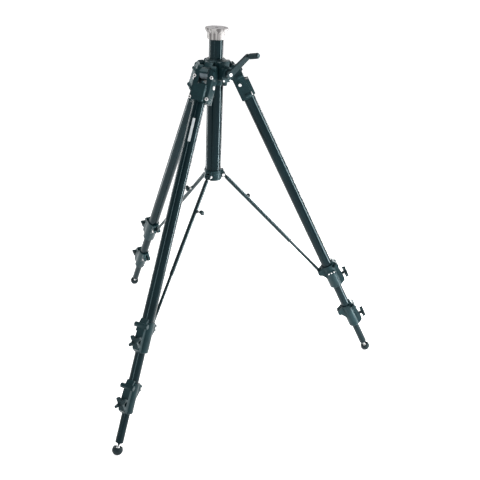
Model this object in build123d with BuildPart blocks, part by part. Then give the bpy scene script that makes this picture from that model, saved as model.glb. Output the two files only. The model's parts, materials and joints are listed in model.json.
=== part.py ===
from build123d import *
import os
from math import atan2, cos, degrees, pi, radians, sin

# Camera tripod with a geared centre column, three-section legs and telescopic braces.
# Millimetres, +Z up. The origin is on the floor, on the axis of the centre column.
# Each leg has its own frame: X outward from the leg, Y sideways, Z up along the leg, and
# "down" is a distance along the leg below its hinge pin.

# Legs
LEG_AZIMUTHS = (-90.0, 30.0, 150.0)
LEG_LEAN = 27.33
LEG_LENGTH = 918.0
FOOT_RADIUS = 13.0
HINGE_RADIUS = 51.1
HINGE_HEIGHT = FOOT_RADIUS + LEG_LENGTH * cos(radians(LEG_LEAN))
UPPER_RADIUS = 15.0
MIDDLE_RADIUS = 12.5
LOWER_RADIUS = 10.0
TUBE_WALL = 1.5
UPPER_TUBE_TOP = 25.0
MIDDLE_TUBE_TOP = 224.0
LOWER_TUBE_TOP = 340.0
LOWER_TUBE_BOTTOM = 900.0
SLIDE_GAP = 0.05

# Leg clamps (collars)
UPPER_COLLAR_TOP = 603.3
LOWER_COLLAR_TOP = 752.4
COLLAR_LENGTH = 74.0
COLLAR_WALL = 3.2
COLLAR_SPLIT = 34.0
CLAMP_WIDTH = 19.0
PINCH_DOWN = 9.0
PINCH_OUT = 6.5
PINCH_LEFT = 19.5
PINCH_RIGHT = 15.0
PINCH_RADIUS = 6.5
LUG_DOWN = 14.5
LUG_WIDTH = 22.0
LUG_GAP = 6.0
LUG_END_RADIUS = 8.0
LUG_HEAD_RADIUS = 3.6
HUB_LUG_WIDTH = 15.0
STRAP_DOWN = 22.0
STRAP_SCREWS = (-7.0, 1.0, 9.0)
KNOB_DOWN = 47.0
KNOB_STEM_RADIUS = 3.0
KNOB_NECK_RADIUS = 4.3
KNOB_ARM = 17.0
KNOB_THICKNESS = 9.5
KNOB_ARM_OUTLINE = [(0, -5), (KNOB_ARM - 2, -3.4), (KNOB_ARM, -2), (KNOB_ARM, 2), (KNOB_ARM - 2, 3.4), (0, 5)]
KNOB_TURNS = {-90.0: 45.0, 30.0: 0.0, 150.0: 20.0}

# Leg top casting, its cover and its fasteners
GAP_HALF = 11.2
CASTING_HALF = 24.0
CHEEK_TOP = 19.0
LOBE_SIDE = 22.6
LOBE_RADIUS = 5.2
LOBE_DOWNS = (10.0, 61.0)
CASTING_BOTTOM = 70.0
CASTING_BACK = -18.5
PARTING = 3.0
FLANGE_FACE = 10.0
COVER_FACE = 18.5
COVER_TOP = 26.0
SCREW_HEAD_RADIUS = 4.0
SOCKET_RADIUS = 2.2
SCREW_HEAD_HEIGHT = 2.2
HINGE_PIN_HALF = 20.0
BOSS_RADIUS = 7.0
BOSS_HEIGHT = 3.6
HINGE_PIN_RADIUS = 4.0
CROSS_BOLT_DOWN = 29.0
CROSS_BOLT_RADIUS = 2.5

# Apex, sleeve and brace hub
APEX_RADIUS = 26.5
APEX_BOTTOM = 797.0
APEX_TOP = 854.5
ARM_WIDTH = 21.0
BUSH_RADIUS = 12.0
SLEEVE_RADIUS = 20.0
SLEEVE_WALL = 1.7
SLEEVE_TOP = 812.0
SLEEVE_BOTTOM = 560.0
HUB_BOTTOM = 549.0
HUB_TOP = 576.0
HUB_RADIUS = 22.5

# Centre column
COLUMN_RADIUS = 17.5
COLUMN_WALL = 2.0
COLUMN_BOTTOM = 596.0
COLUMN_TOP = 914.0
COLUMN_GAP = 0.06
PLATE_TOP = 929.0
PLATE_RADIUS = 28.0
PLATE_SKIRT_RADIUS = 22.5
PLATE_SKIRT_BOTTOM = 902.5
HEAD_HOLE_RADIUS = 4.4

# Rack, pinion and crank
GEAR_AZIMUTH = -30.0
GEAR_HEIGHT = 830.0
MODULE = 1.0
PINION_TEETH = 12
PINION_RADIUS = MODULE * PINION_TEETH / 2
COLUMN_UP = 190.0
COLUMN_DOWN = 12.0
RACK_INNER = 12.0
RACK_BACK = 10.5
SLOT_FRONT = -7.6
SHAFT_RADIUS = 4.0
HOUSING_FACE = 50.0
CRANK_PLANE = 59.0
CRANK_THICKNESS = 6.0
CRANK_TILT = 9.5
CRANK_LENGTH = 59.5
HOUSING_TOP_FACE = 40.0
CRANK_WIDTH = 13.0
CRANK_ANGLE = 43.9
GRIP_RADIUS = 7.0
GRIP_LENGTH = 33.0
GRIP_SPLAY = 18.0

# Braces
BRACE_HUB_RADIUS = 27.0
BRACE_HUB_HEIGHT = 560.5
BRACE_TUBE_RADIUS = 5.2
BRACE_ROD_RADIUS = 4.0
BRACE_TUBE_START = 12.0
BRACE_TUBE_END = 272.0
BRACE_ROD_START = 85.0
BRACE_LOCK_AT = 98.0
LOCK_KNOB_OUT = 14.0
LOCK_KNOB_THICKNESS = 10.5
EYE_THICKNESS = 5.0
EYE_PIN_RADIUS = 2.45
BLADE_LENGTH = 30.0
SMALL_HEAD = 1.6
EYE_RADIUS = 5.6

Z = Vector(0, 0, 1)


def radial(azimuth):
    return Vector(cos(radians(azimuth)), sin(radians(azimuth)), 0)


def sideways(azimuth):
    return radial(azimuth + 90)


def leg_up(azimuth):
    return Z * cos(radians(LEG_LEAN)) - radial(azimuth) * sin(radians(LEG_LEAN))


def leg_out(azimuth):
    return radial(azimuth) * cos(radians(LEG_LEAN)) + Z * sin(radians(LEG_LEAN))


def leg_point(azimuth, down, out=0.0, side=0.0):
    hinge = radial(azimuth) * HINGE_RADIUS + Z * HINGE_HEIGHT
    return hinge - leg_up(azimuth) * down + leg_out(azimuth) * out + sideways(azimuth) * side


def cross_plane(azimuth, down, out=0.0):
    """Square to the leg: X outward, Y sideways, normal up the leg."""
    return Plane(origin=leg_point(azimuth, down, out), x_dir=leg_out(azimuth), z_dir=leg_up(azimuth))


def profile_plane(azimuth, down=0.0, side=0.0):
    """The leg seen from its side: X outward, Y up the leg."""
    return Plane(
        origin=leg_point(azimuth, down, 0, side),
        x_dir=leg_out(azimuth),
        z_dir=sideways(azimuth) * -1,
    )


def face_plane(azimuth, down=0.0, out=0.0):
    """The leg seen from outside: X sideways, Y up the leg, normal outward."""
    return Plane(origin=leg_point(azimuth, down, out), x_dir=sideways(azimuth), z_dir=leg_out(azimuth))


def standing_plane(azimuth, side=0.0):
    """The upright plane through the column axis: X outward, Y up."""
    return Plane(origin=sideways(azimuth) * side, x_dir=radial(azimuth), z_dir=sideways(azimuth) * -1)


def gear_plane(distance):
    """Square to the crank shaft, at a distance from the column axis: X sideways, Y up."""
    centre = radial(GEAR_AZIMUTH) * distance + Z * GEAR_HEIGHT
    return Plane(origin=centre, x_dir=sideways(GEAR_AZIMUTH), z_dir=radial(GEAR_AZIMUTH))


def brace_ends(azimuth):
    top = radial(azimuth) * BRACE_HUB_RADIUS + Z * BRACE_HUB_HEIGHT
    foot = leg_point(azimuth, UPPER_COLLAR_TOP + LUG_DOWN, -lug_reach(UPPER_RADIUS))
    return top, foot


def lug_reach(outer_radius):
    return outer_radius + 11.0


def brace_plane(azimuth, distance):
    """Square to a brace, at a distance from its hub pin: normal towards the leg."""
    top, foot = brace_ends(azimuth)
    along = (foot - top).normalized()
    return Plane(origin=top + along * distance, x_dir=sideways(azimuth), z_dir=along)


def brace_profile_plane(azimuth, distance):
    """A brace seen from its side: X towards the leg, Y up and out."""
    top, foot = brace_ends(azimuth)
    along = (foot - top).normalized()
    return Plane(origin=top + along * distance, x_dir=along, z_dir=sideways(azimuth) * -1)


def save(piece, name):
    piece.label = name
    export_step(piece, f"parts/{name}.step")


# ---------------------------------------------------------------- apex and column


def make_apex():
    """Hub with three arms; each ends in a hook that covers the top of its hinge barrel."""
    arm_outline = [(0, 24), (HINGE_RADIUS - 17, 24), (HINGE_RADIUS - 10, 14.5), (HINGE_RADIUS + 6, 13.5)]
    arm_outline += [(HINGE_RADIUS + 12.5, 7.5), (HINGE_RADIUS + 14, 4), (HINGE_RADIUS + 4, 0)]
    arm_outline += [(HINGE_RADIUS + 2, -14), (HINGE_RADIUS - 8, -22), (0, -22)]
    with BuildPart() as apex:
        with BuildSketch(Plane.XY.offset(APEX_BOTTOM)):
            Circle(APEX_RADIUS)
        extrude(amount=APEX_TOP - APEX_BOTTOM)
        chamfer(apex.faces().sort_by(Axis.Z)[-1].edges(), 2.0)
        for azimuth in LEG_AZIMUTHS:
            with BuildSketch(standing_plane(azimuth)):
                with BuildLine():
                    Polyline([(x, HINGE_HEIGHT + y) for x, y in arm_outline], close=True)
                make_face()
            extrude(amount=ARM_WIDTH / 2, both=True)
            with BuildSketch(profile_plane(azimuth)):
                Circle(BUSH_RADIUS)
            extrude(amount=ARM_WIDTH, both=True, mode=Mode.SUBTRACT)
        with BuildSketch(Plane.XY.offset(APEX_BOTTOM - 10)):
            Circle(SLEEVE_RADIUS)
        extrude(amount=80, mode=Mode.SUBTRACT)
        with BuildSketch(gear_plane(SLEEVE_RADIUS - 6)):
            Circle(PINION_RADIUS + 1.6)
        extrude(amount=20, mode=Mode.SUBTRACT)
    return apex.part


def make_hinge_bushes():
    """Three barrels, one held in the end of each apex arm."""
    with BuildPart() as hinge_bushes:
        for azimuth in LEG_AZIMUTHS:
            with BuildSketch(profile_plane(azimuth)):
                Circle(BUSH_RADIUS)
                Circle(HINGE_PIN_RADIUS + SLIDE_GAP, mode=Mode.SUBTRACT)
            extrude(amount=ARM_WIDTH / 2, both=True)
    return hinge_bushes.part


def make_column_bush():
    with BuildPart() as column_bush:
        with BuildSketch(Plane.XY.offset(SLEEVE_TOP)):
            Circle(SLEEVE_RADIUS)
        extrude(amount=APEX_TOP - SLEEVE_TOP)
        with BuildSketch(Plane.XY.offset(APEX_TOP)):
            Circle(SLEEVE_RADIUS + 2.5)
        extrude(amount=3.0)
        fillet(column_bush.faces().sort_by(Axis.Z)[-1].edges(), 1.2)
        with BuildSketch(Plane.XY.offset(SLEEVE_TOP - 1)):
            Circle(COLUMN_RADIUS + COLUMN_GAP)
        extrude(amount=60, mode=Mode.SUBTRACT)
        with BuildSketch(gear_plane(SLEEVE_RADIUS - 6)):
            Circle(PINION_RADIUS + 1.6)
        extrude(amount=20, mode=Mode.SUBTRACT)
    return column_bush.part


def make_column_sleeve():
    with BuildPart() as column_sleeve:
        with BuildSketch(Plane.XY.offset(SLEEVE_BOTTOM)):
            Circle(SLEEVE_RADIUS)
            Circle(SLEEVE_RADIUS - SLEEVE_WALL, mode=Mode.SUBTRACT)
        extrude(amount=SLEEVE_TOP - SLEEVE_BOTTOM)
    return column_sleeve.part


def make_brace_hub():
    with BuildPart() as brace_hub:
        with BuildSketch(Plane.XY.offset(HUB_BOTTOM)):
            Circle(HUB_RADIUS)
        extrude(amount=HUB_TOP - HUB_BOTTOM)
        chamfer(brace_hub.faces().sort_by(Axis.Z)[-1].edges(), 1.5)
        for azimuth in LEG_AZIMUTHS:
            with BuildSketch(standing_plane(azimuth)):
                with Locations((BRACE_HUB_RADIUS, BRACE_HUB_HEIGHT)):
                    Circle(EYE_RADIUS)
                with Locations((BRACE_HUB_RADIUS - 8, BRACE_HUB_HEIGHT + 4)):
                    Rectangle(16, EYE_RADIUS * 2 + 8)
            extrude(amount=HUB_LUG_WIDTH / 2, both=True)
        for azimuth in LEG_AZIMUTHS:
            with BuildSketch(standing_plane(azimuth)):
                with Locations((BRACE_HUB_RADIUS + 1, BRACE_HUB_HEIGHT - 3)):
                    Rectangle(18, 22)
            extrude(amount=LUG_GAP / 2, both=True, mode=Mode.SUBTRACT)
            with BuildSketch(standing_plane(azimuth)):
                with Locations((BRACE_HUB_RADIUS, BRACE_HUB_HEIGHT)):
                    Circle(2.5)
            extrude(amount=HUB_LUG_WIDTH, both=True, mode=Mode.SUBTRACT)
        with BuildSketch(Plane.XY.offset(SLEEVE_BOTTOM)):
            Circle(SLEEVE_RADIUS)
        extrude(amount=40, mode=Mode.SUBTRACT)
        with BuildSketch(Plane.XY.offset(HUB_BOTTOM)):
            Circle(SLEEVE_RADIUS - SLEEVE_WALL)
        extrude(amount=20, mode=Mode.SUBTRACT)
    return brace_hub.part


def make_frame_fasteners():
    """The brace hub's pins and the screws on the gear housing, as separate solids."""
    with BuildPart() as frame_fasteners:
        for azimuth in LEG_AZIMUTHS:
            with BuildSketch(standing_plane(azimuth)):
                with Locations((BRACE_HUB_RADIUS, BRACE_HUB_HEIGHT)):
                    Circle(EYE_PIN_RADIUS)
            extrude(amount=HUB_LUG_WIDTH / 2, both=True)
            for side in (HUB_LUG_WIDTH / 2, -HUB_LUG_WIDTH / 2 - SMALL_HEAD):
                with BuildSketch(standing_plane(azimuth, -side)):
                    with Locations((BRACE_HUB_RADIUS, BRACE_HUB_HEIGHT)):
                        Circle(3.8)
                extrude(amount=SMALL_HEAD)
        with BuildSketch(gear_plane(HOUSING_FACE)):
            with Locations((-9.0, -17), (9.0, -17)):
                Circle(2.2)
        extrude(amount=SMALL_HEAD)
    return frame_fasteners.part


def make_center_column():
    slot_width = RACK_BACK - SLOT_FRONT
    slot_bottom = GEAR_HEIGHT - COLUMN_UP - 12
    slot_top = GEAR_HEIGHT + COLUMN_DOWN + 9
    with BuildPart() as center_column:
        with BuildSketch(Plane.XY.offset(COLUMN_BOTTOM)):
            Circle(COLUMN_RADIUS)
            Circle(COLUMN_RADIUS - COLUMN_WALL, mode=Mode.SUBTRACT)
        extrude(amount=COLUMN_TOP - COLUMN_BOTTOM)
        with BuildSketch(gear_plane(8)):
            with Locations(((RACK_BACK + SLOT_FRONT) / 2, (slot_top + slot_bottom) / 2 - GEAR_HEIGHT)):
                Rectangle(slot_width, slot_top - slot_bottom)
        extrude(amount=14, mode=Mode.SUBTRACT)
    return center_column.part


def make_column_rack():
    pitch = pi * MODULE
    below = int((COLUMN_UP + 8) / pitch)
    above = int((COLUMN_DOWN + 6) / pitch)
    root = PINION_RADIUS + 1.3 * MODULE
    tip = PINION_RADIUS - 0.85 * MODULE
    points = []
    for tooth in range(-below, above):
        middle = (tooth + 0.5) * pitch
        points += [(root, middle - 1.1), (tip, middle - 0.33), (tip, middle + 0.33), (root, middle + 1.1)]
    top = (above + 0.1) * pitch
    bottom = (-below - 0.1) * pitch
    outline = [(root, bottom)] + points + [(root, top), (RACK_BACK, top), (RACK_BACK, bottom)]
    with BuildPart() as column_rack:
        with BuildSketch(gear_plane(RACK_INNER)):
            with BuildLine():
                Polyline(outline, close=True)
            make_face()
        extrude(amount=6)
        with BuildSketch(Plane.XY.offset(COLUMN_BOTTOM)):
            Circle(COLUMN_RADIUS - 0.1)
        extrude(amount=400, mode=Mode.INTERSECT)
    return column_rack.part


def make_head_plate():
    with BuildPart() as head_plate:
        with BuildSketch(Plane.XZ):
            with BuildLine():
                Polyline(
                    (0, PLATE_TOP),
                    (PLATE_RADIUS - 1, PLATE_TOP),
                    (PLATE_RADIUS, PLATE_TOP - 1),
                    (PLATE_RADIUS, PLATE_TOP - 3.5),
                    (PLATE_SKIRT_RADIUS + 1, PLATE_TOP - 11),
                    (PLATE_SKIRT_RADIUS, PLATE_TOP - 12),
                    (PLATE_SKIRT_RADIUS, PLATE_SKIRT_BOTTOM + 1.5),
                    (PLATE_SKIRT_RADIUS - 1.5, PLATE_SKIRT_BOTTOM),
                    (COLUMN_RADIUS, PLATE_SKIRT_BOTTOM),
                    (COLUMN_RADIUS, COLUMN_TOP),
                    (0, COLUMN_TOP),
                    close=True,
                )
            make_face()
        revolve(axis=Axis.Z)
        with BuildSketch(Plane.XY.offset(PLATE_TOP)):
            Circle(HEAD_HOLE_RADIUS)
        extrude(amount=-20, mode=Mode.SUBTRACT)
        with BuildSketch(Plane.XY.offset(PLATE_TOP)):
            with PolarLocations(PLATE_RADIUS - 8, 3, start_angle=30):
                Circle(2.5)
        extrude(amount=-12, mode=Mode.SUBTRACT)
    return head_plate.part


def make_head_set_screws():
    with BuildPart() as head_set_screws:
        with BuildSketch(Plane.XY.offset(PLATE_TOP - 12)):
            with PolarLocations(PLATE_RADIUS - 8, 3, start_angle=30):
                Circle(2.45)
        extrude(amount=11)
        with BuildSketch(Plane.XY.offset(PLATE_TOP - 4)):
            with PolarLocations(PLATE_RADIUS - 8, 3, start_angle=30):
                RegularPolygon(1.3, 6)
        extrude(amount=4, mode=Mode.SUBTRACT)
    return head_set_screws.part


def make_gear_housing():
    """Stepped housing round the crank shaft: tall near the apex, lower at its outer face."""
    with BuildPart() as gear_housing:
        with BuildSketch(gear_plane(APEX_RADIUS - 4)):
            with Locations((0, 3)):
                RectangleRounded(25, 47, 4)
        extrude(amount=HOUSING_TOP_FACE - APEX_RADIUS + 4)
        with BuildSketch(gear_plane(APEX_RADIUS - 4)):
            with Locations((0, -3.5)):
                RectangleRounded(26, 35, 6)
        extrude(amount=HOUSING_FACE - APEX_RADIUS + 4)
        with BuildSketch(gear_plane(HOUSING_FACE)):
            Circle(12.5)
        extrude(amount=5)
        outward = Axis(origin=(0, 0, 0), direction=radial(GEAR_AZIMUTH))
        fillet(gear_housing.faces().sort_by(outward)[-1].edges(), 1.5)
        with BuildSketch(Plane.XY.offset(APEX_BOTTOM)):
            Circle(APEX_RADIUS)
        extrude(amount=100, mode=Mode.SUBTRACT)
        with BuildSketch(gear_plane(10)):
            Circle(SHAFT_RADIUS + SLIDE_GAP)
        extrude(amount=60, mode=Mode.SUBTRACT)
        with BuildSketch(Plane.XY.offset(GEAR_HEIGHT - 25)):
            with Locations(radial(GEAR_AZIMUTH) * 40):
                Circle(2.5 + SLIDE_GAP)
        extrude(amount=14, mode=Mode.SUBTRACT)
    return gear_housing.part


def make_friction_knob():
    with BuildPart() as friction_knob:
        with BuildSketch(Plane.XY.offset(GEAR_HEIGHT - 21.5)):
            with Locations(radial(GEAR_AZIMUTH) * 40):
                Circle(6.5)
        extrude(amount=-9)
        fillet(friction_knob.faces().sort_by(Axis.Z)[0].edges(), 2)
        with BuildSketch(Plane.XY.offset(GEAR_HEIGHT - 22)):
            with Locations(radial(GEAR_AZIMUTH) * 40):
                Circle(2.5)
        extrude(amount=10)
    return friction_knob.part


def make_crank_shaft():
    """The pinion and its shaft in one piece."""
    root = PINION_RADIUS - 1.3 * MODULE
    tip = PINION_RADIUS + 0.85 * MODULE
    with BuildPart() as crank_shaft:
        with BuildSketch(gear_plane(RACK_INNER + 0.3)):
            Circle(root)
            with PolarLocations(0, PINION_TEETH):
                with BuildLine():
                    Polyline((root - 1, -0.95), (PINION_RADIUS, -0.62), (tip, -0.3), (tip, 0.3),
                             (PINION_RADIUS, 0.62), (root - 1, 0.95), close=True)
                make_face()
        extrude(amount=4.8)
        with BuildSketch(gear_plane(RACK_INNER + 5.1)):
            Circle(SHAFT_RADIUS)
        extrude(amount=CRANK_PLANE + CRANK_THICKNESS + 1 - RACK_INNER - 5.1)
    return crank_shaft.part


def arm_direction():
    """Along the crank's arm: sideways, up, and a little outward."""
    flat = sideways(GEAR_AZIMUTH) * cos(radians(CRANK_ANGLE)) + Z * sin(radians(CRANK_ANGLE))
    return flat * cos(radians(CRANK_TILT)) + radial(GEAR_AZIMUTH) * sin(radians(CRANK_TILT))


def arm_plane():
    """The inner face of the crank's arm: X along the arm, normal outward."""
    across = radial(GEAR_AZIMUTH).cross(arm_direction()).normalized()
    centre = radial(GEAR_AZIMUTH) * CRANK_PLANE + Z * GEAR_HEIGHT
    return Plane(origin=centre, x_dir=arm_direction(), z_dir=arm_direction().cross(across))


def grip_plane(offset=0.0):
    """Square to the grip's spindle, which splays outward from the arm's tip."""
    flat = sideways(GEAR_AZIMUTH) * cos(radians(CRANK_ANGLE)) + Z * sin(radians(CRANK_ANGLE))
    spindle = radial(GEAR_AZIMUTH) * cos(radians(GRIP_SPLAY)) + flat * sin(radians(GRIP_SPLAY))
    start = radial(GEAR_AZIMUTH) * (CRANK_PLANE + 3) + arm_direction() * CRANK_LENGTH
    return Plane(origin=start + Z * GEAR_HEIGHT + spindle * offset, z_dir=spindle)


def make_crank_arm():
    """Round hub on the shaft, tilted arm with a waist, and the grip's spindle."""
    half = CRANK_WIDTH / 2
    with BuildPart() as crank_arm:
        with BuildSketch(arm_plane()):
            with Locations((CRANK_LENGTH, 0)):
                Circle(half)
            with BuildLine():
                Polyline((0, half + 1), (CRANK_LENGTH, half), (CRANK_LENGTH, -half), (0, -half - 1), close=True)
            make_face()
        extrude(amount=CRANK_THICKNESS)
        with BuildSketch(gear_plane(HOUSING_FACE + 6)):
            Circle(half + 2.5)
        extrude(amount=CRANK_PLANE + CRANK_THICKNESS - HOUSING_FACE - 6)
        with BuildSketch(gear_plane(40)):
            Circle(SHAFT_RADIUS)
        extrude(amount=60, mode=Mode.SUBTRACT)
        with BuildSketch(grip_plane()):
            Circle(3.0)
        extrude(amount=GRIP_LENGTH + 1.0)
        with BuildSketch(grip_plane(GRIP_LENGTH)):
            Circle(4.6)
        extrude(amount=1.6)
    return crank_arm.part


def make_crank_grip():
    with BuildPart() as crank_grip:
        with BuildSketch(grip_plane(6.4)):
            Circle(GRIP_RADIUS)
        extrude(amount=GRIP_LENGTH - 7.2)
        fillet(crank_grip.edges(), 1.5)
        with BuildSketch(grip_plane(4)):
            Circle(3.0 + SLIDE_GAP)
        extrude(amount=GRIP_LENGTH, mode=Mode.SUBTRACT)
    return crank_grip.part


# ---------------------------------------------------------------- one leg


def make_top_casting(azimuth):
    """Back half of the leg's head: two cheeks round the hinge, a half bore for the tube, four lobes."""
    outline = [(CASTING_BACK, -CASTING_BOTTOM), (CASTING_BACK, 5), (-9, CHEEK_TOP), (1, CHEEK_TOP + 2)]
    outline += [(PARTING, CHEEK_TOP - 5), (PARTING, -CASTING_BOTTOM)]
    with BuildPart() as top_casting:
        with BuildSketch(profile_plane(azimuth)):
            with BuildLine():
                Polyline(outline, close=True)
            make_face()
            fillet(vertices(), 2.2)
        extrude(amount=CASTING_HALF, both=True)
        with BuildSketch(face_plane(azimuth, 0, PARTING)):
            with Locations([(side, -down) for down in LOBE_DOWNS for side in (-LOBE_SIDE, LOBE_SIDE)]):
                Circle(LOBE_RADIUS)
        extrude(amount=-9)
        with BuildSketch(profile_plane(azimuth, CROSS_BOLT_DOWN, -CASTING_HALF)):
            with Locations((-7, 0)):
                Circle(BOSS_RADIUS)
        extrude(amount=BOSS_HEIGHT)
        with BuildSketch(cross_plane(azimuth, UPPER_TUBE_TOP)):
            Rectangle(60, GAP_HALF * 2)
        extrude(amount=60, mode=Mode.SUBTRACT)
        with BuildSketch(cross_plane(azimuth, CASTING_BOTTOM + 1)):
            Circle(UPPER_RADIUS)
        extrude(amount=CASTING_BOTTOM + 1 - UPPER_TUBE_TOP, mode=Mode.SUBTRACT)
        with BuildSketch(profile_plane(azimuth)):
            Circle(HINGE_PIN_RADIUS)
        extrude(amount=HINGE_PIN_HALF, both=True, mode=Mode.SUBTRACT)
        with BuildSketch(profile_plane(azimuth, CROSS_BOLT_DOWN)):
            with Locations((-7, 0)):
                Circle(CROSS_BOLT_RADIUS)
        extrude(amount=40, both=True, mode=Mode.SUBTRACT)
    return top_casting.part


def make_top_cover(azimuth):
    """U-shaped clamp half: two arms on the cheeks and a barrel over the tube."""
    with BuildPart() as top_cover:
        with BuildSketch(face_plane(azimuth, 0, PARTING)):
            with Locations((0, -(CASTING_BOTTOM - 8) / 2)):
                RectangleRounded(CASTING_HALF * 2, CASTING_BOTTOM + 8, 6)
            with Locations([(side, -down) for down in LOBE_DOWNS for side in (-LOBE_SIDE, LOBE_SIDE)]):
                Circle(LOBE_RADIUS)
            with Locations((0, -UPPER_TUBE_TOP + 25)):
                Rectangle(GAP_HALF * 2, 50, mode=Mode.SUBTRACT)
        extrude(amount=FLANGE_FACE - PARTING)
        with BuildSketch(face_plane(azimuth, 0, FLANGE_FACE)):
            with Locations((0, -(CASTING_BOTTOM + COVER_TOP) / 2)):
                RectangleRounded(34, CASTING_BOTTOM - COVER_TOP, 4)
        extrude(amount=COVER_FACE - FLANGE_FACE, taper=12)
        with BuildSketch(cross_plane(azimuth, CASTING_BOTTOM + 1)):
            Circle(UPPER_RADIUS)
        extrude(amount=CASTING_BOTTOM + 1 - UPPER_TUBE_TOP, mode=Mode.SUBTRACT)
        with BuildSketch(profile_plane(azimuth)):
            Circle(HINGE_PIN_RADIUS)
        extrude(amount=HINGE_PIN_HALF, both=True, mode=Mode.SUBTRACT)
    return top_cover.part


def make_fasteners(azimuth):
    """Socket screws of the cover and the clamp strap, hinge pin, cross bolt, and a pivot stud with its head."""
    screws = [(side, -down) for down in LOBE_DOWNS for side in (-LOBE_SIDE, LOBE_SIDE)]
    pad = UPPER_RADIUS + COLLAR_WALL + 1
    with BuildPart() as fasteners:
        with BuildSketch(face_plane(azimuth, 0, FLANGE_FACE)):
            with Locations(screws):
                Circle(SCREW_HEAD_RADIUS)
        extrude(amount=SCREW_HEAD_HEIGHT)
        with BuildSketch(face_plane(azimuth, 0, FLANGE_FACE + SCREW_HEAD_HEIGHT)):
            with Locations(screws):
                RegularPolygon(SOCKET_RADIUS, 6)
        extrude(amount=-1.5, mode=Mode.SUBTRACT)
        with BuildSketch(profile_plane(azimuth)):
            Circle(HINGE_PIN_RADIUS)
        extrude(amount=HINGE_PIN_HALF, both=True)
        with BuildSketch(profile_plane(azimuth, CROSS_BOLT_DOWN, -CASTING_HALF - BOSS_HEIGHT)):
            with Locations((-7, 0)):
                Circle(CROSS_BOLT_RADIUS)
        extrude(amount=-CASTING_HALF * 2 - BOSS_HEIGHT)
        with BuildSketch(profile_plane(azimuth, CROSS_BOLT_DOWN, -CASTING_HALF - BOSS_HEIGHT)):
            with Locations((-7, 0)):
                Circle(3.8)
        extrude(amount=1.8)
        with BuildSketch(profile_plane(azimuth, CROSS_BOLT_DOWN, CASTING_HALF)):
            with Locations((-7, 0)):
                Circle(4.6)
        extrude(amount=-2.4)
        with BuildSketch(profile_plane(azimuth, UPPER_COLLAR_TOP, LUG_WIDTH / 2)):
            with Locations((-lug_reach(UPPER_RADIUS), -LUG_DOWN)):
                Circle(2.5)
        extrude(amount=(LUG_WIDTH - LUG_GAP) / 2)
        with BuildSketch(profile_plane(azimuth, UPPER_COLLAR_TOP, LUG_WIDTH / 2)):
            with Locations((-lug_reach(UPPER_RADIUS), -LUG_DOWN)):
                Circle(LUG_HEAD_RADIUS)
        extrude(amount=-SMALL_HEAD)
        with BuildSketch(profile_plane(azimuth, UPPER_COLLAR_TOP, -pad)):
            with Locations([(out, -STRAP_DOWN) for out in STRAP_SCREWS]):
                Circle(1.9)
        extrude(amount=1.0)
    return fasteners.part


def make_upper_tube(azimuth):
    bottom = UPPER_COLLAR_TOP + COLLAR_SPLIT
    with BuildPart() as upper_tube:
        with BuildSketch(cross_plane(azimuth, bottom)):
            Circle(UPPER_RADIUS)
            Circle(UPPER_RADIUS - TUBE_WALL, mode=Mode.SUBTRACT)
        extrude(amount=bottom - UPPER_TUBE_TOP)
        with BuildSketch(profile_plane(azimuth, CROSS_BOLT_DOWN)):
            with Locations((-7, 0)):
                Circle(CROSS_BOLT_RADIUS)
        extrude(amount=40, both=True, mode=Mode.SUBTRACT)
    return upper_tube.part


def make_middle_tube(azimuth):
    bottom = LOWER_COLLAR_TOP + COLLAR_SPLIT
    with BuildPart() as middle_tube:
        with BuildSketch(cross_plane(azimuth, bottom)):
            Circle(MIDDLE_RADIUS)
            Circle(MIDDLE_RADIUS - TUBE_WALL, mode=Mode.SUBTRACT)
        extrude(amount=bottom - MIDDLE_TUBE_TOP)
    return middle_tube.part


def make_lower_tube(azimuth):
    """The lowest section, closed by an end plug that the foot's stud screws into."""
    with BuildPart() as lower_tube:
        with BuildSketch(cross_plane(azimuth, LOWER_TUBE_BOTTOM)):
            Circle(LOWER_RADIUS)
        extrude(amount=LOWER_TUBE_BOTTOM - LOWER_TUBE_TOP)
        chamfer(lower_tube.faces().sort_by(Axis.Z)[0].edges(), 1.0)
        with BuildSketch(cross_plane(azimuth, LOWER_TUBE_BOTTOM - 12)):
            Circle(LOWER_RADIUS - TUBE_WALL)
        extrude(amount=LOWER_TUBE_BOTTOM - LOWER_TUBE_TOP, mode=Mode.SUBTRACT)
        with BuildSketch(cross_plane(azimuth, LOWER_TUBE_BOTTOM + 1)):
            Circle(3.5)
        extrude(amount=20, mode=Mode.SUBTRACT)
    return lower_tube.part


def make_foot(azimuth):
    """A ball of rubber with a cupped top, on a stud."""
    with BuildPart() as foot:
        with BuildSketch(profile_plane(azimuth, LEG_LENGTH)):
            with BuildLine():
                cup_y = 7.0
                cup_x = (FOOT_RADIUS**2 - cup_y**2) ** 0.5
                CenterArc((0, 0), FOOT_RADIUS, -90, 90 + degrees(atan2(cup_y, cup_x)))
                Polyline((cup_x, cup_y), (cup_x - 2.5, cup_y), (5.5, 2.5), (3.5, 2.5), (3.5, 28), (0, 28),
                         (0, -FOOT_RADIUS))
            make_face()
        revolve(axis=Axis(origin=leg_point(azimuth, LEG_LENGTH), direction=leg_up(azimuth)))
    return foot.part


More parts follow.
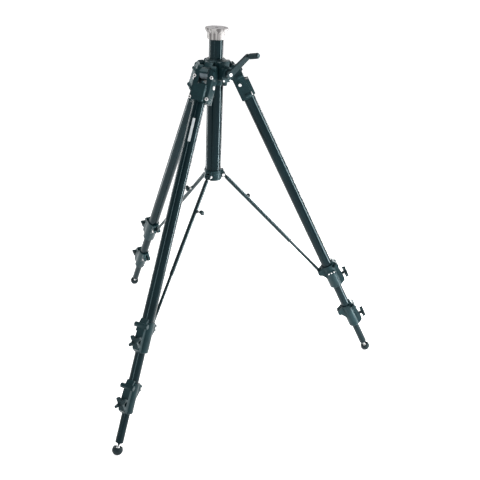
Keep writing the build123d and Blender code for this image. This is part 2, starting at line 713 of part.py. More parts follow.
def make_collar(azimuth, top, outer_radius, inner_radius, strap):
    """Leg clamp: a sleeve over both tubes, a wedge block for the hand screw, a pinch bolt and two ears."""
    face = outer_radius + 14.0
    block = [(6, 6), (outer_radius + 2, 8), (outer_radius + 8.5, -4), (face, -55), (face - 2, -66),
             (outer_radius, -COLLAR_LENGTH), (6, -COLLAR_LENGTH)]
    reach = lug_reach(outer_radius)
    pad = outer_radius + COLLAR_WALL + 1
    with BuildPart() as collar:
        with BuildSketch(cross_plane(azimuth, top + COLLAR_LENGTH)):
            Circle(outer_radius + COLLAR_WALL)
        extrude(amount=COLLAR_LENGTH)
        chamfer(collar.faces().sort_by(Axis.Z)[0].edges(), 1.5)
        with BuildSketch(profile_plane(azimuth, top)):
            with BuildLine():
                Polyline(block, close=True)
            make_face()
            fillet([v for v in vertices() if v.X > outer_radius + 1], 2.0)
        extrude(amount=CLAMP_WIDTH / 2, both=True)
        with BuildSketch(profile_plane(azimuth, top, -PINCH_LEFT)):
            with Locations((outer_radius + PINCH_OUT, -PINCH_DOWN)):
                RegularPolygon(PINCH_RADIUS, 6)
        extrude(amount=-PINCH_LEFT - PINCH_RIGHT)
        if strap:
            with BuildSketch(profile_plane(azimuth, top, -pad)):
                with Locations((1, -STRAP_DOWN)):
                    RectangleRounded(24, 9, 3)
            extrude(amount=-pad)
        with BuildSketch(profile_plane(azimuth, top)):
            with BuildLine():
                Polyline((-reach, -LUG_DOWN + LUG_END_RADIUS), (-outer_radius, 0), (-outer_radius, -40),
                         (-reach, -LUG_DOWN - LUG_END_RADIUS), close=True)
            make_face()
            with Locations((-reach, -LUG_DOWN)):
                Circle(LUG_END_RADIUS)
        extrude(amount=LUG_WIDTH / 2, both=True)
        with BuildSketch(profile_plane(azimuth, top)):
            with Locations((-reach - 2.5, -30)):
                Rectangle(19, 70)
        extrude(amount=LUG_GAP / 2, both=True, mode=Mode.SUBTRACT)
        with BuildSketch(profile_plane(azimuth, top, LUG_WIDTH)):
            with Locations((-reach, -LUG_DOWN)):
                Circle(2.5)
        extrude(amount=LUG_WIDTH, mode=Mode.SUBTRACT)
        with BuildSketch(cross_plane(azimuth, top + COLLAR_SPLIT)):
            Circle(outer_radius)
        extrude(amount=60, mode=Mode.SUBTRACT)
        with BuildSketch(cross_plane(azimuth, top + COLLAR_LENGTH + 1)):
            Circle(inner_radius + SLIDE_GAP)
        extrude(amount=60, mode=Mode.SUBTRACT)
        with BuildSketch(face_plane(azimuth, top + KNOB_DOWN, outer_radius + 4)):
            Circle(KNOB_STEM_RADIUS + SLIDE_GAP)
        extrude(amount=30, mode=Mode.SUBTRACT)
    return collar.part


def make_lower_bolt(azimuth):
    """Pivot stud in one ear of the lower collar, with its head."""
    spot = (-lug_reach(MIDDLE_RADIUS), -LUG_DOWN)
    with BuildPart() as lower_bolt:
        with BuildSketch(profile_plane(azimuth, LOWER_COLLAR_TOP, LUG_WIDTH / 2)):
            with Locations(spot):
                Circle(2.5)
        extrude(amount=(LUG_WIDTH - LUG_GAP) / 2)
        with BuildSketch(profile_plane(azimuth, LOWER_COLLAR_TOP, LUG_WIDTH / 2)):
            with Locations(spot):
                Circle(LUG_HEAD_RADIUS)
        extrude(amount=-SMALL_HEAD)
    return lower_bolt.part


def make_hand_knob(azimuth, top, outer_radius):
    """Hand screw with four tapered arms on a neck."""
    face = outer_radius + 14.0
    with BuildPart() as hand_knob:
        with BuildSketch(face_plane(azimuth, top + KNOB_DOWN, outer_radius + 5)):
            Circle(KNOB_STEM_RADIUS)
        extrude(amount=face + 6 - outer_radius - 5)
        with BuildSketch(face_plane(azimuth, top + KNOB_DOWN, face + 0.5)):
            Circle(KNOB_NECK_RADIUS)
        extrude(amount=6)
        with BuildSketch(face_plane(azimuth, top + KNOB_DOWN, face + 4.5)):
            Circle(7.5)
            for quarter in range(4):
                with Locations(Location((0, 0, 0), (0, 0, KNOB_TURNS[azimuth] + 90 * quarter))):
                    Polygon(*KNOB_ARM_OUTLINE, align=None)
        extrude(amount=KNOB_THICKNESS)
        with BuildSketch(face_plane(azimuth, top + KNOB_DOWN, face + 4.5 + KNOB_THICKNESS)):
            Circle(5.0)
        extrude(amount=-3.0, mode=Mode.SUBTRACT)
    return hand_knob.part


# ---------------------------------------------------------------- one brace


def make_brace_tube(azimuth):
    """Outer brace section with a flat eye for the hub pin and a boss for the lock."""
    with BuildPart() as brace_tube:
        with BuildSketch(brace_plane(azimuth, BRACE_TUBE_START)):
            Circle(BRACE_TUBE_RADIUS)
        extrude(amount=BRACE_TUBE_END - BRACE_TUBE_START)
        with BuildSketch(brace_profile_plane(azimuth, 0)):
            Circle(EYE_RADIUS - 0.4)
            with Locations((BRACE_TUBE_START / 2 + 1, 0)):
                Rectangle(BRACE_TUBE_START + 2, 7.5)
        extrude(amount=EYE_THICKNESS / 2, both=True)
        with BuildSketch(brace_profile_plane(azimuth, BRACE_LOCK_AT)):
            Circle(4.0)
        extrude(amount=-BRACE_TUBE_RADIUS - 3.5)
        with BuildSketch(brace_profile_plane(azimuth, 0)):
            Circle(2.5)
        extrude(amount=20, both=True, mode=Mode.SUBTRACT)
        with BuildSketch(brace_plane(azimuth, 20)):
            Circle(BRACE_ROD_RADIUS + SLIDE_GAP)
        extrude(amount=400, mode=Mode.SUBTRACT)
        with BuildSketch(brace_profile_plane(azimuth, BRACE_LOCK_AT)):
            Circle(2.0 + SLIDE_GAP)
        extrude(amount=-20, mode=Mode.SUBTRACT)
    return brace_tube.part


def make_brace_lock(azimuth):
    """Thumb screw that presses on the sliding rod: boss, stem and a rounded oval knob."""
    side = BRACE_ROD_RADIUS + 0.2
    with BuildPart() as brace_lock:
        plane = brace_profile_plane(azimuth, BRACE_LOCK_AT)
        with BuildSketch(plane.offset(-side)):
            Circle(2.0)
        extrude(amount=side - LOCK_KNOB_OUT - 1)
        with BuildSketch(plane.offset(-BRACE_TUBE_RADIUS - 4.0)):
            Circle(4.2)
        extrude(amount=-3.2, taper=20)
        with BuildSketch(plane.offset(-LOCK_KNOB_OUT)):
            SlotOverall(17, 10.5, rotation=90)
        knob = extrude(amount=-LOCK_KNOB_THICKNESS)
        fillet([edge for edge in knob.edges() if edge in brace_lock.edges()], 4.2)
    return brace_lock.part


def make_brace_rod(azimuth):
    """Inner brace section, ending in a flat blade between the collar's ears."""
    top, foot = brace_ends(azimuth)
    length = (foot - top).length
    with BuildPart() as brace_rod:
        with BuildSketch(brace_plane(azimuth, BRACE_ROD_START)):
            Circle(BRACE_ROD_RADIUS)
        extrude(amount=length - BLADE_LENGTH - BRACE_ROD_START)
        with BuildSketch(brace_profile_plane(azimuth, length)):
            Circle(5.0)
            with Locations((-BLADE_LENGTH / 2 - 2, 0)):
                Rectangle(BLADE_LENGTH + 4, 7.8)
        extrude(amount=EYE_THICKNESS / 2, both=True)
    return brace_rod.part


ROOT_PIECES = {
    "apex": make_apex,
    "column_bush": make_column_bush,
    "column_sleeve": make_column_sleeve,
    "brace_hub": make_brace_hub,
    "hinge_bushes": make_hinge_bushes,
    "frame_fasteners": make_frame_fasteners,
    "center_column": make_center_column,
    "column_rack": make_column_rack,
    "head_plate": make_head_plate,
    "head_set_screws": make_head_set_screws,
    "gear_housing": make_gear_housing,
    "friction_knob": make_friction_knob,
    "crank_shaft": make_crank_shaft,
    "crank_arm": make_crank_arm,
    "crank_grip": make_crank_grip,
}

LEG_PIECES = {
    "top_casting": make_top_casting,
    "top_cover": make_top_cover,
    "fasteners": make_fasteners,
    "upper_tube": make_upper_tube,
    "middle_tube": make_middle_tube,
    "lower_tube": make_lower_tube,
    "foot": make_foot,
    "lower_bolt": make_lower_bolt,
    "brace_tube": make_brace_tube,
    "brace_lock": make_brace_lock,
    "brace_rod": make_brace_rod,
}

os.makedirs("parts", exist_ok=True)
for piece_name, make in ROOT_PIECES.items():
    save(make(), piece_name)
for number, leg_azimuth in enumerate(LEG_AZIMUTHS, 1):
    for piece_name, make in LEG_PIECES.items():
        save(make(leg_azimuth), f"leg_{number}_{piece_name}")
    collar = make_collar(leg_azimuth, UPPER_COLLAR_TOP, UPPER_RADIUS, MIDDLE_RADIUS, True)
    save(collar, f"leg_{number}_upper_collar")
    collar = make_collar(leg_azimuth, LOWER_COLLAR_TOP, MIDDLE_RADIUS, LOWER_RADIUS, False)
    save(collar, f"leg_{number}_lower_collar")
    save(make_hand_knob(leg_azimuth, UPPER_COLLAR_TOP, UPPER_RADIUS), f"leg_{number}_upper_knob")
    save(make_hand_knob(leg_azimuth, LOWER_COLLAR_TOP, MIDDLE_RADIUS), f"leg_{number}_lower_knob")
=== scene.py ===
import json
from math import cos, radians, sin

import bmesh
import bpy
from mathutils import Matrix, Vector


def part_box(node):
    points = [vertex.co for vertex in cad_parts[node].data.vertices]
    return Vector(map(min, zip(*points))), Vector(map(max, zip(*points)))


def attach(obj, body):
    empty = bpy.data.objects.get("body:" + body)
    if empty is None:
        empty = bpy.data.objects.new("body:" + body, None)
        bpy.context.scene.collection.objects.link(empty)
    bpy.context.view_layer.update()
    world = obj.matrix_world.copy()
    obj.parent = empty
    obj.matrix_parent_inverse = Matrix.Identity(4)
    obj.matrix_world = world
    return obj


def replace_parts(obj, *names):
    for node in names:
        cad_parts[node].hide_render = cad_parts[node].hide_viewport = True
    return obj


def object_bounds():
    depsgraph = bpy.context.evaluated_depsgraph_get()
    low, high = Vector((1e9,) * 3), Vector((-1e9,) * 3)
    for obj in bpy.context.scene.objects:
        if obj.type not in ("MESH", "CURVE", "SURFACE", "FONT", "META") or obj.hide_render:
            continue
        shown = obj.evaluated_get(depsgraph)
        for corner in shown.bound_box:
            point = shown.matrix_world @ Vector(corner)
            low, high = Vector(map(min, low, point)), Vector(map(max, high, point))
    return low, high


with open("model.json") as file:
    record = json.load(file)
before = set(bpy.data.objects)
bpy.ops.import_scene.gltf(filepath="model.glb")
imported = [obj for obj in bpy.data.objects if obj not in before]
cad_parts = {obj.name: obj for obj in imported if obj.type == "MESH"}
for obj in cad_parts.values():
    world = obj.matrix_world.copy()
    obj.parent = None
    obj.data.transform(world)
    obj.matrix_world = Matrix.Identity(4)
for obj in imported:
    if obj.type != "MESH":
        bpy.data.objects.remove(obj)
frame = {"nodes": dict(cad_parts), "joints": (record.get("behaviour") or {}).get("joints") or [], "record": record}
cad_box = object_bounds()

# Where the camera stands and looks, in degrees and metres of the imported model's frame.
CAMERA_AZIMUTH = -63.52
CAMERA_DISTANCE = 1.6749
CAMERA_HEIGHT = 1.1924
CAMERA_HEADING = 113.804
CAMERA_PITCH = -26.108
CAMERA_ROLL = 2.647
CAMERA_LENS = 51.35
SENSOR = 36.0

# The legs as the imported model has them: azimuth of each, lean from upright, radius of the ball foot.
LEG_AZIMUTHS = {1: -90.0, 2: 30.0, 3: 150.0}
LEG_LEAN = radians(27.33)
FOOT_RADIUS = 0.013
STUD_RADIUS = 0.0042
# The stud's own stretch starts this many foot radii above the ball's middle.
STUD_START = 1.9

# The screws in a top cover: how wide their heads are at least and at most, and what their sockets span.
HEAD_LEAST = 0.0075
HEAD_MOST = 0.009
SOCKET_RADIUS = 0.0023
SOCKET_RIM = 0.0001
# Where a strut's clamp turns from bright metal to its black knob, from the strut's axis.
KNOB_START = 0.0138

# The blank label on the front leg: where it starts and ends below the hinge, its underside and
# its face as distances from the tube's axis, and its arc round the tube in degrees.
LABEL_ENDS = (0.110, 0.166)
LABEL_REACH = (0.01495, 0.0152)
LABEL_ARC_START = 4.0
LABEL_ARC_STEP = 3.0
LABEL_POINTS = 9

# How far the edges of the cast and moulded parts are rounded, by the end of the node's name.
ROUND_FRAME = {"apex": 0.0012, "gear_housing": 0.0012, "brace_hub": 0.0008, "crank_arm": 0.0016}
ROUND_LEG = {
    "top_casting": 0.0014, "top_cover": 0.0010, "upper_collar": 0.0012,
    "lower_collar": 0.0012, "upper_knob": 0.0014, "lower_knob": 0.0014,
}
BEVEL_SEGMENTS = 2
# An edge is sharp where its faces turn by more than the first angle, and goes where they turn by
# less than the second. Points nearer to each other than the last are one point.
SHARP = radians(28.0)
FLAT = radians(0.6)
MERGE = 1e-6

# Dark and light ends of each finish's colour. The sheen tints what the dark finishes reflect.
SHEEN = (0.62, 0.92, 1.0)
INK = ((0.0010, 0.0050, 0.0068), (0.0020, 0.0085, 0.0112))
TEAL = ((0.0045, 0.0150, 0.0180), (0.009, 0.026, 0.030))
SOOT = ((0.0030, 0.0075, 0.0090), (0.0060, 0.0140, 0.0165))
RUBBER = ((0.004, 0.0065, 0.0075), (0.008, 0.0125, 0.0145))
BUSH_GREY = ((0.10, 0.125, 0.14), (0.14, 0.17, 0.19))
STEEL = ((0.46, 0.47, 0.48), (0.66, 0.66, 0.66))
SCREW_STEEL = ((0.66, 0.67, 0.68), (0.86, 0.86, 0.86))
SILVER = ((0.12, 0.112, 0.112), (0.34, 0.33, 0.325))
SILVER_TOP = (0.24, 0.225, 0.23)
# Painted shade: near black on the faces inside the screws' hex sockets, where shade falls in the recess.
SOCKET_PAINTED_SHADE = ((0.003, 0.003, 0.003), (0.006, 0.006, 0.006))
LABEL_GREY = ((0.42, 0.45, 0.46), (0.52, 0.55, 0.56))
FLOOR_WHITE = ((0.88, 0.88, 0.88), (0.9, 0.9, 0.9))
WHITE = (1.0, 1.0, 1.0)

# How bright the room is high up on the sides that aren't behind the tripod, beside 1 behind it.
WORLD_DIM = 0.2
FLOOR_SIZE = 60.0
FLOOR_GLOW = 0.6
# Tall strip lights that face the column: azimuth, distance, height, width and length, watts.
STRIPS = {
    "key": (-92.0, 2.6, 1.5, (0.3, 2.0), 22.0),
    "right": (18.0, 1.15, 0.6, (0.11, 1.2), 24.0),
    "rim_right": (66.0, 1.2, 0.6, (0.07, 1.2), 12.0),
    "rim_left": (178.0, 1.2, 0.6, (0.10, 1.2), 6.0),
}
TOP_LIGHT = ((-0.6, -0.2, 2.8), (0.0, 0.0, 0.4), (1.0, 1.0), 20.0)

nodes = frame["nodes"]
joints = {joint["name"]: joint for joint in frame["joints"]}
bodies = frame["record"]["behaviour"]["bodies"]
body_of = {node: body for body, members in bodies.items() for node in members}


def leg_axes(leg):
    """Of a leg: up its length, outward from it, and its left-hand side as seen from the column."""
    azimuth = radians(LEG_AZIMUTHS[leg])
    lean = sin(LEG_LEAN)
    up = Vector((-lean * cos(azimuth), -lean * sin(azimuth), cos(LEG_LEAN)))
    side = Vector((-sin(azimuth), cos(azimuth), 0.0))
    return up, side.cross(up), side


# ---------------------------------------------------------------- camera


def make_camera():
    heading = radians(CAMERA_HEADING)
    pitch = radians(CAMERA_PITCH)
    roll = radians(CAMERA_ROLL)
    azimuth = radians(CAMERA_AZIMUTH)
    ahead = Vector((cos(heading) * cos(pitch), sin(heading) * cos(pitch), sin(pitch)))
    level = Vector((sin(heading), -cos(heading), 0.0))
    above = level.cross(ahead)
    right = level * cos(roll) + above * sin(roll)
    up = above * cos(roll) - level * sin(roll)
    place = Vector((cos(azimuth) * CAMERA_DISTANCE, sin(azimuth) * CAMERA_DISTANCE, CAMERA_HEIGHT))
    data = bpy.data.cameras.new("camera")
    data.lens = CAMERA_LENS
    data.sensor_width = SENSOR
    data.clip_end = 100.0
    camera = bpy.data.objects.new("camera", data)
    rotation = Matrix((right, up, -ahead)).transposed().to_4x4()
    camera.matrix_world = Matrix.Translation(place) @ rotation
    bpy.context.scene.collection.objects.link(camera)
    bpy.context.scene.camera = camera


# ---------------------------------------------------------------- nodes of a material


def new_material(name, metallic, specular, tint=WHITE):
    material = bpy.data.materials.new(name)
    material.use_nodes = True
    shader = material.node_tree.nodes["Principled BSDF"]
    shader.inputs["Metallic"].default_value = metallic
    shader.inputs["Specular IOR Level"].default_value = specular
    shader.inputs["Specular Tint"].default_value = (*tint, 1.0)
    return material, material.node_tree, shader


def coordinates(tree, turn=(0.0, 0.0, 0.0), stretch=(1.0, 1.0, 1.0)):
    """Object coordinates, turned and then stretched."""
    source = tree.nodes.new("ShaderNodeTexCoord")
    turned = tree.nodes.new("ShaderNodeMapping")
    turned.inputs["Rotation"].default_value = turn
    stretched = tree.nodes.new("ShaderNodeMapping")
    stretched.inputs["Scale"].default_value = stretch
    tree.links.new(source.outputs["Object"], turned.inputs["Vector"])
    tree.links.new(turned.outputs["Vector"], stretched.inputs["Vector"])
    return stretched.outputs["Vector"]


def noise(tree, vector, scale, detail, roughness=0.55):
    node = tree.nodes.new("ShaderNodeTexNoise")
    node.inputs["Scale"].default_value = scale
    node.inputs["Detail"].default_value = detail
    node.inputs["Roughness"].default_value = roughness
    tree.links.new(vector, node.inputs["Vector"])
    return node.outputs["Fac"]


def remap(tree, value, low, high, new_low=0.0, new_high=1.0):
    node = tree.nodes.new("ShaderNodeMapRange")
    node.inputs["From Min"].default_value = low
    node.inputs["From Max"].default_value = high
    node.inputs["To Min"].default_value = new_low
    node.inputs["To Max"].default_value = new_high
    tree.links.new(value, node.inputs["Value"])
    return node.outputs["Result"]


def two_tone(tree, factor, colours):
    node = tree.nodes.new("ShaderNodeMix")
    node.data_type = "RGBA"
    tree.links.new(factor, node.inputs[0])
    for colour, socket in zip(colours, node.inputs[6:8]):
        if isinstance(colour, bpy.types.NodeSocket):
            tree.links.new(colour, socket)
        else:
            socket.default_value = (*colour, 1.0)
    return node.outputs[2]


def bump(tree, height, strength, distance, below=None):
    node = tree.nodes.new("ShaderNodeBump")
    node.inputs["Strength"].default_value = strength
    node.inputs["Distance"].default_value = distance
    tree.links.new(height, node.inputs["Height"])
    if below is not None:
        tree.links.new(below, node.inputs["Normal"])
    return node.outputs["Normal"]


def combined(tree, operation, first, second):
    node = tree.nodes.new("ShaderNodeMath")
    node.operation = operation
    tree.links.new(first, node.inputs[0])
    tree.links.new(second, node.inputs[1])
    return node.outputs["Value"]


def vector_math(tree, operation, vector, constant=(0.0, 0.0, 0.0)):
    node = tree.nodes.new("ShaderNodeVectorMath")
    node.operation = operation
    node.inputs[1].default_value = constant
    tree.links.new(vector, node.inputs[0])
    return node.outputs


def height_of(tree, vector):
    node = tree.nodes.new("ShaderNodeSeparateXYZ")
    tree.links.new(vector, node.inputs["Vector"])
    return node.outputs["Z"]


def finish(tree, shader, colour, roughness, normal):
    for value, name in ((colour, "Base Color"), (roughness, "Roughness"), (normal, "Normal")):
        tree.links.new(value, shader.inputs[name])


# ---------------------------------------------------------------- materials


def tube_material(name, turn, colours, rough):
    """Anodised tube: fine draw lines along its length and slow changes of tone."""
    material, tree, shader = new_material(name, 0.0, 0.2, SHEEN)
    lines = noise(tree, coordinates(tree, turn, (420.0, 420.0, 3.0)), 1.0, 3.0)
    slow = noise(tree, coordinates(tree), 14.0, 2.0)
    colour = two_tone(tree, remap(tree, slow, 0.35, 0.65), colours)
    roughness = remap(tree, lines, 0.3, 0.7, rough - 0.04, rough + 0.05)
    finish(tree, shader, colour, roughness, bump(tree, lines, 0.05, 0.0001))
    return material


def casting_material(name, colours, rough, specular):
    """Stove-enamelled casting: a fine orange-peel grain, scuffed slightly paler in patches."""
    material, tree, shader = new_material(name, 0.0, specular, SHEEN)
    place = coordinates(tree)
    grain = noise(tree, place, 950.0, 2.0)
    peel = noise(tree, place, 260.0, 2.0)
    patches = noise(tree, place, 32.0, 5.0, 0.65)
    colour = two_tone(tree, remap(tree, patches, 0.36, 0.7), colours)
    roughness = remap(tree, patches, 0.3, 0.7, rough + 0.05, rough - 0.06)
    soft = bump(tree, peel, 0.25, 0.0004)
    finish(tree, shader, colour, roughness, bump(tree, grain, 0.35, 0.00022, soft))
    return material


def moulded_material(name, colours, rough, grain_scale, depth, specular=0.35):
    """Moulded plastic or rubber with a matt grain."""
    material, tree, shader = new_material(name, 0.0, specular, SHEEN)
    place = coordinates(tree)
    grain = noise(tree, place, grain_scale, 3.0)
    slow = noise(tree, place, 55.0, 3.0)
    colour = two_tone(tree, remap(tree, slow, 0.35, 0.65), colours)
    roughness = remap(tree, grain, 0.3, 0.7, rough - 0.05, rough + 0.08)
    finish(tree, shader, colour, roughness, bump(tree, grain, 0.4, depth))
    return material


def metal_material(name, colours, rough, metallic=1.0):
    """Bare metal: fine scratches over slow stains."""
    material, tree, shader = new_material(name, metallic, 0.5, (0.5, 0.5, 0.5))
    scratches = noise(tree, coordinates(tree), 180.0, 4.0, 0.7)
    stains = noise(tree, coordinates(tree), 70.0, 4.0)
    colour = two_tone(tree, remap(tree, stains, 0.3, 0.7), colours)
    roughness = remap(tree, scratches, 0.3, 0.7, rough - 0.06, rough + 0.1)
    finish(tree, shader, colour, roughness, bump(tree, scratches, 0.15, 0.0001))
    return material


def turned_material(name, colours, top_colour, rough):
    """Turned aluminium: tool marks round the axis, streaks down the skirt, a dull top in a bright rim."""
    material, tree, shader = new_material(name, 0.25, 0.3)
    low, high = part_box("head_plate")
    radius = (high[0] - low[0]) / 2
    rings = tree.nodes.new("ShaderNodeTexWave")
    rings.wave_type = "RINGS"
    rings.rings_direction = "Z"
    rings.inputs["Scale"].default_value = 330.0
    rings.inputs["Distortion"].default_value = 0.6
    place = coordinates(tree)
    tree.links.new(place, rings.inputs["Vector"])
    marks = rings.outputs["Fac"]
    streaks = noise(tree, coordinates(tree, stretch=(190.0, 190.0, 6.0)), 1.0, 2.0, 0.4)
    tone = two_tone(tree, remap(tree, streaks, 0.42, 0.58), colours)
    flat = vector_math(tree, "MULTIPLY", place, (1.0, 1.0, 0.0))["Vector"]
    reach = vector_math(tree, "LENGTH", flat)["Value"]
    above = remap(tree, height_of(tree, place), high[2] - 0.0006, high[2] - 0.0003)
    inside = remap(tree, reach, radius - 0.0024, radius - 0.0016, 1.0, 0.0)
    colour = two_tone(tree, combined(tree, "MULTIPLY", above, inside), (tone, top_colour))
    roughness = remap(tree, marks, 0.0, 1.0, rough - 0.05, rough + 0.08)
    finish(tree, shader, colour, roughness, bump(tree, marks, 0.18, 0.0001))
    return material


tube_straight = tube_material("tube_column", (0.0, 0.0, 0.0), INK, 0.14)
tube_legs = {}
for leg in LEG_AZIMUTHS:
    turn = leg_axes(leg)[0].rotation_difference(Vector((0.0, 0.0, 1.0))).to_euler()
    tube_legs[leg] = tube_material(f"tube_leg_{leg}", turn, INK, 0.14)
casting = casting_material("casting", TEAL, 0.36, 0.22)
black_metal = casting_material("black_metal", SOOT, 0.34, 0.35)
knob = moulded_material("knob", SOOT, 0.5, 700.0, 0.0003)
rubber = moulded_material("rubber", RUBBER, 0.6, 420.0, 0.0005, 0.25)
bush = moulded_material("bush", BUSH_GREY, 0.55, 600.0, 0.0002, 0.08)
steel = metal_material("steel", STEEL, 0.3)
screw_steel = metal_material("screw_steel", SCREW_STEEL, 0.32, 0.3)
plate = turned_material("plate", SILVER, SILVER_TOP, 0.34)
# Painted shade for the inside of the screws' sockets, with a faint matt grain.
painted_socket_shade = moulded_material("painted_socket_shade", SOCKET_PAINTED_SHADE, 0.7, 700.0, 0.0001, 0.1)
blank_label = moulded_material("blank_label", LABEL_GREY, 0.45, 500.0, 0.0001)


def material_for(node):
    if node in ("center_column", "column_sleeve"):
        return tube_straight
    if node.endswith(("upper_tube", "middle_tube", "lower_tube")):
        return tube_legs[int(node[4])]
    if node.endswith(("casting", "cover", "collar")) or node in ("apex", "brace_hub", "gear_housing"):
        return casting
    if node.endswith("fasteners"):
        return screw_steel
    if node.endswith("bolt") or node in ("crank_shaft", "column_rack", "head_set_screws"):
        return steel
    if node == "head_plate":
        return plate
    if node == "hinge_bushes":
        return bush
    if node.endswith("foot"):
        return rubber
    if node.endswith(("knob", "lock")) or node == "crank_grip":
        return knob
    return black_metal


# ---------------------------------------------------------------- pieces made from the CAD shapes


def paint(mesh, *materials):
    mesh.materials.clear()
    for material in materials:
        mesh.materials.append(material)


def add_piece(name, mesh, body):
    piece = bpy.data.objects.new(name, mesh)
    bpy.context.scene.collection.objects.link(piece)
    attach(piece, body)
    return piece


def copied(node, name, *materials):
    """A copy of the node's mesh in the materials, and the same as an open bmesh with doubles merged."""
    mesh = nodes[node].data.copy()
    mesh.name = name
    paint(mesh, *materials)
    shape = bmesh.new()
    shape.from_mesh(mesh)
    bmesh.ops.remove_doubles(shape, verts=shape.verts, dist=MERGE)
    return mesh, shape


def rounded(node, width):
    """The CAD shape with its sharp edges rounded off, in place of the node."""
    name = f"{node}_rounded"
    mesh, shape = copied(node, name, material_for(node))
    bmesh.ops.dissolve_limit(shape, angle_limit=FLAT, verts=shape.verts, edges=shape.edges)
    shape.to_mesh(mesh)
    shape.free()
    for polygon in mesh.polygons:
        polygon.use_smooth = True
    mesh.set_sharp_from_angle(angle=SHARP)
    piece = add_piece(name, mesh, body_of[node])
    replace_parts(piece, node)
    bevel = piece.modifiers.new("bevel", "BEVEL")
    bevel.width = width
    bevel.segments = BEVEL_SEGMENTS
    bevel.limit_method = "ANGLE"
    bevel.angle_limit = SHARP
    bevel.use_clamp_overlap = True
    bevel.harden_normals = True


def repainted(node, second, chosen):
    """The CAD shape with a second material on the faces that `chosen` gives, in place of the node."""
    name = f"{node}_repainted"
    mesh, shape = copied(node, name, material_for(node), second)
    for face in chosen(shape):
        face.material_index = 1
    shape.to_mesh(mesh)
    shape.free()
    mesh.set_sharp_from_angle(angle=SHARP)
    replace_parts(add_piece(name, mesh, body_of[node]), node)


def islands(shape):
    """Groups of vertices that hang together."""
    left = set(shape.verts)
    while left:
        group = [left.pop()]
        for vert in group:
            for edge in vert.link_edges:
                other = edge.other_vert(vert)
                if other in left:
                    left.remove(other)
                    group.append(other)
        yield group


def socket_shade_faces(leg):
    """The faces inside the sockets of a top cover's screws, which get painted shade."""
    up, out, side = leg_axes(leg)

    def chosen(shape):
        faces = []
        for group in islands(shape):
            ups = [vert.co.dot(up) for vert in group]
            sides = [vert.co.dot(side) for vert in group]
            spans = (max(ups) - min(ups), max(sides) - min(sides))
            if max(spans) > HEAD_MOST or min(spans) < HEAD_LEAST:
                continue
            middle = up * (max(ups) + min(ups)) / 2 + side * (max(sides) + min(sides)) / 2
            bottom = max(vert.co.dot(out) for vert in group) - SOCKET_RIM
            for face in {face for vert in group for face in vert.link_faces}:
                centre = face.calc_center_median()
                height = centre.dot(out)
                if (centre - middle - out * height).length < SOCKET_RADIUS and height < bottom:
                    faces.append(face)
        return faces

    return chosen


def stud_faces(leg):
    """The faces of a foot that belong to its stud."""
    up = leg_axes(leg)[0]

    def chosen(shape):
        ball = min(vert.co.dot(up) for vert in shape.verts) + FOOT_RADIUS
        axis = [vert.co for vert in shape.verts if vert.co.dot(up) > ball + STUD_START * FOOT_RADIUS]
        middle = sum(axis, Vector()) / len(axis)
        faces = []
        for face in shape.faces:
            centre = face.calc_center_median()
            off = centre - middle
            off -= up * off.dot(up)
            if off.length < STUD_RADIUS and centre.dot(up) > ball:
                faces.append(face)
        return faces

    return chosen


def boss_faces(leg):
    """The faces of a strut's clamp between the strut and the knob."""
    side = leg_axes(leg)[2]
    root = Vector(joints[f"leg_{leg}_brace_clamp"]["pos_m"])

    def chosen(shape):
        return [face for face in shape.faces if (face.calc_center_median() - root).dot(side) < KNOB_START]

    return chosen


def make_label():
    """A blank label on the front leg, bent round its tube."""
    up, out, side = leg_axes(1)
    hinge = Vector(joints["leg_1_fold"]["pos_m"])
    arc = [radians(LABEL_ARC_START + LABEL_ARC_STEP * step) for step in range(LABEL_POINTS)]
    shape = bmesh.new()
    rows = []
    for down in LABEL_ENDS:
        for reach in LABEL_REACH:
            spots = [hinge - up * down + out * cos(a) * reach + side * sin(a) * reach for a in arc]
            rows.append([shape.verts.new(spot) for spot in spots])
    under_top, over_top, under_end, over_end = rows
    around = (under_top, over_top, over_end, under_end)
    for one, two in zip(around, around[1:] + around[:1]):
        for left, right, last, first in zip(one, one[1:], two[1:], two):
            shape.faces.new((left, right, last, first))
    for step in (0, -1):
        shape.faces.new([row[step] for row in around])
    bmesh.ops.recalc_face_normals(shape, faces=shape.faces)
    mesh = bpy.data.meshes.new("front_label")
    shape.to_mesh(mesh)
    shape.free()
    paint(mesh, blank_label)
    add_piece("front_label", mesh, "leg_1")


def make_pieces():
    for node, obj in nodes.items():
        paint(obj.data, material_for(node))
    widths = dict(ROUND_FRAME)
    for leg in LEG_AZIMUTHS:
        for part, width in ROUND_LEG.items():
            widths[f"leg_{leg}_{part}"] = width
        # Painted shade inside the screws' sockets; bright steel on the feet's studs and the clamps' bosses.
        repainted(f"leg_{leg}_fasteners", painted_socket_shade, socket_shade_faces(leg))
        repainted(f"leg_{leg}_foot", steel, stud_faces(leg))
        repainted(f"leg_{leg}_brace_lock", steel, boss_faces(leg))
    for node, width in widths.items():
        rounded(node, width)
    make_label()


# ---------------------------------------------------------------- floor and light


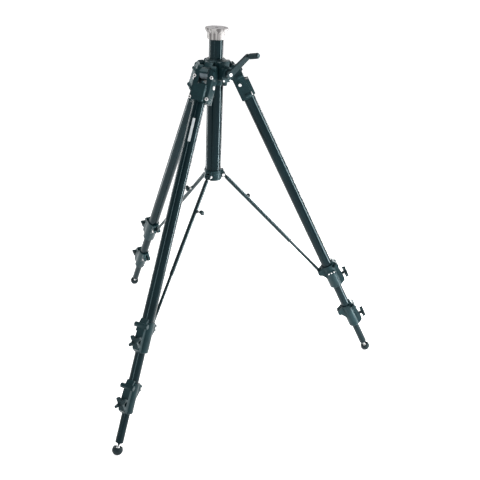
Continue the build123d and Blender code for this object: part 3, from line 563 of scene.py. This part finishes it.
def make_floor():
    lowest = cad_box[0][2]
    bpy.ops.mesh.primitive_plane_add(size=FLOOR_SIZE, location=(0.0, 0.0, lowest))
    floor = bpy.context.object
    floor.name = "floor"
    material, tree, shader = new_material("floor", 0.0, 0.2)
    mottle = noise(tree, coordinates(tree), 3.0, 3.0)
    tree.links.new(two_tone(tree, mottle, FLOOR_WHITE), shader.inputs["Base Color"])
    shader.inputs["Roughness"].default_value = 0.9
    shader.inputs["Emission Color"].default_value = (*WHITE, 1.0)
    shader.inputs["Emission Strength"].default_value = FLOOR_GLOW
    paint(floor.data, material)


def make_area(name, place, aim, size, watts):
    data = bpy.data.lights.new(name, "AREA")
    data.shape = "RECTANGLE"
    data.size, data.size_y = size
    data.energy = watts
    light = bpy.data.objects.new(name, data)
    light.location = place
    light.visible_camera = False
    light.rotation_euler = (Vector(aim) - Vector(place)).to_track_quat("-Z", "Y").to_euler()
    bpy.context.scene.collection.objects.link(light)


def make_light():
    for name, (azimuth, distance, height, size, watts) in STRIPS.items():
        place = (cos(radians(azimuth)) * distance, sin(radians(azimuth)) * distance, height)
        make_area(name, place, (0.0, 0.0, height), size, watts)
    make_area("top", *TOP_LIGHT)


def make_world():
    """A studio: white behind the tripod and round the horizon, dimmer high up on the other sides."""
    world = bpy.data.worlds.new("world")
    world.use_nodes = True
    tree = world.node_tree
    way = tree.nodes.new("ShaderNodeTexCoord").outputs["Generated"]
    heading = radians(CAMERA_HEADING)
    side = vector_math(tree, "DOT_PRODUCT", way, (cos(heading), sin(heading), 0.25))["Value"]
    behind = remap(tree, side, 0.25, 0.7)
    horizon = remap(tree, height_of(tree, way), 0.3, 0.5, 1.0, 0.0)
    level = remap(tree, combined(tree, "MAXIMUM", behind, horizon), 0.0, 1.0, WORLD_DIM, 1.0)
    background = tree.nodes["Background"]
    background.inputs["Color"].default_value = (*WHITE, 1.0)
    tree.links.new(level, background.inputs["Strength"])
    bpy.context.scene.world = world
    bpy.context.scene.view_settings.view_transform = "Standard"


make_camera()
make_pieces()
make_floor()
make_world()
make_light()
